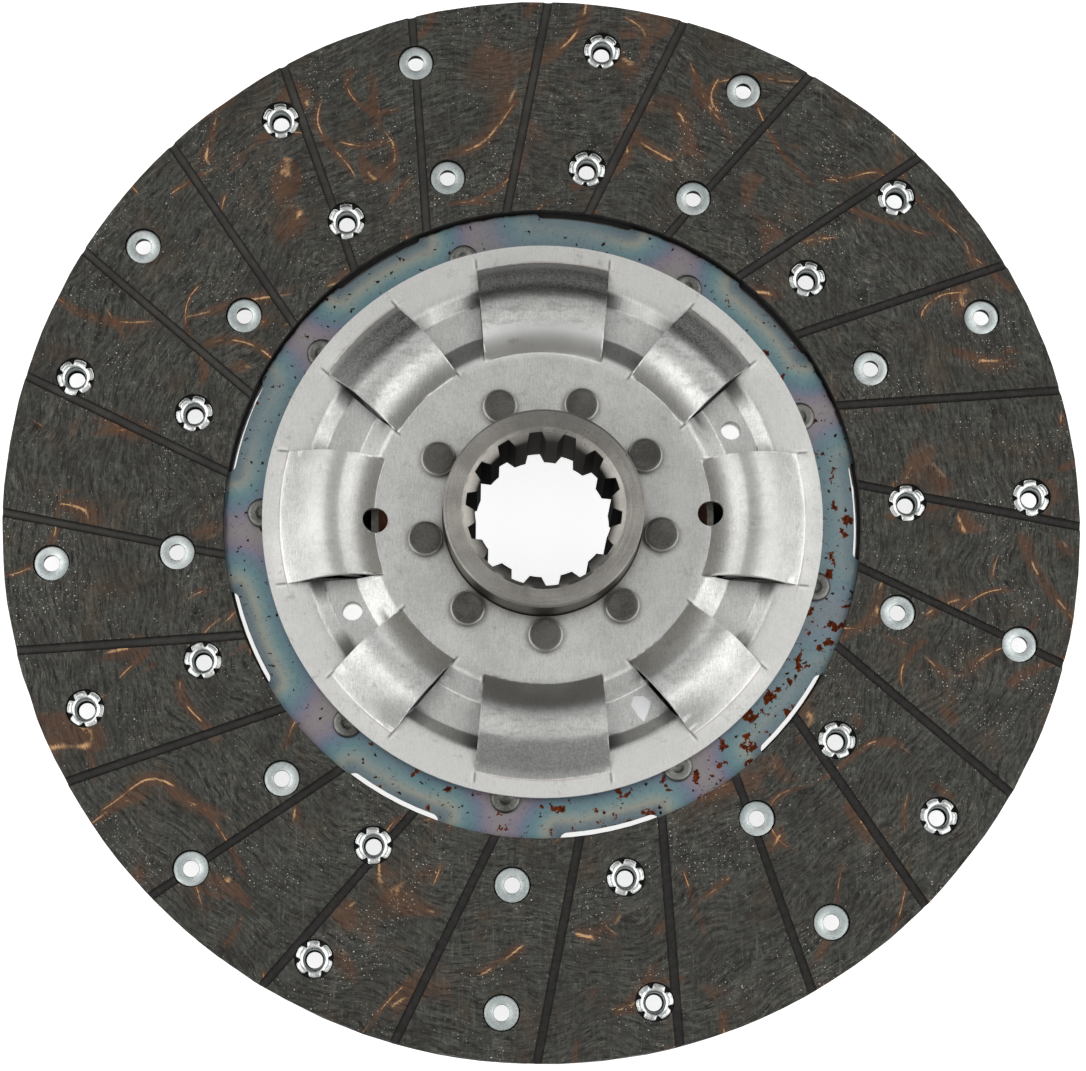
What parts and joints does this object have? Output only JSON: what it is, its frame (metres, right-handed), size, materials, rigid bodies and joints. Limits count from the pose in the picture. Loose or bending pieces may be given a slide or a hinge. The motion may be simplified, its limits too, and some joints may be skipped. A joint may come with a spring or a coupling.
{
  "type": "clutch disc",
  "caption": "Friction clutch disc with grooved riveted linings, a windowed cushion plate, hooded guide plates over coil springs and a splined hub that twists against them.",
  "frame": {"origin": "on the hub axis, half way between the two linings", "axes": "+Z along the hub axis towards the gearbox side, +X through the middle of one large spring"},
  "size_m": [0.31, 0.31, 0.0381],
  "materials": {
    "hub_steel": "machined steel, lightly pitted",
    "dark_rivet_steel": "dark upset steel with worn bright edges",
    "guide_steel": "pressed sheet steel, satin, burnished on the hoods",
    "friction_washer": "moulded friction material, matt",
    "washer_steel": "plain steel",
    "drive_steel": "plain sheet steel",
    "drive_rivet_steel": "upset steel, dull",
    "tempered_steel": "spring steel with blue temper colours and specks of rust",
    "friction_lining": "woven friction material with brass and fibre strands, ground flat",
    "zinc_plate": "bright zinc plate",
    "spring_steel": "spring wire, oiled"
  },
  "bodies": {
    "hub_unit": {"hub": "hub_steel", "hub_rivets": "dark_rivet_steel", "front_guide_plate": "guide_steel", "rear_guide_plate": "guide_steel", "front_friction_washer": "friction_washer", "rear_friction_washer": "friction_washer", "pressure_washer": "washer_steel", "disc_spring": "washer_steel", "large_spring_1": "spring_steel", "large_spring_2": "spring_steel", "large_spring_3": "spring_steel", "large_spring_4": "spring_steel", "medium_spring_1": "spring_steel", "medium_spring_2": "spring_steel", "small_spring_1": "spring_steel", "small_spring_2": "spring_steel"},
    "friction_disc": {"drive_plate": "drive_steel", "drive_plate_rivets": "drive_rivet_steel", "cushion_plate": "tempered_steel", "front_lining": "friction_lining", "rear_lining": "friction_lining", "lining_rivets_head_front": "zinc_plate", "lining_rivets_head_rear": "zinc_plate"}
  },
  "joints": [
    {"name": "damper_twist", "type": "hinge", "parent": "hub_unit", "child": "friction_disc", "pos_m": [0, 0, 0], "axis": [0, 0, 1], "range_deg": [-6, 6], "stiffness_Nm_per_rad": 800, "deforming": ["large_spring_1", "large_spring_2", "large_spring_3", "large_spring_4", "medium_spring_1", "medium_spring_2", "small_spring_1", "small_spring_2"]}
  ]
}
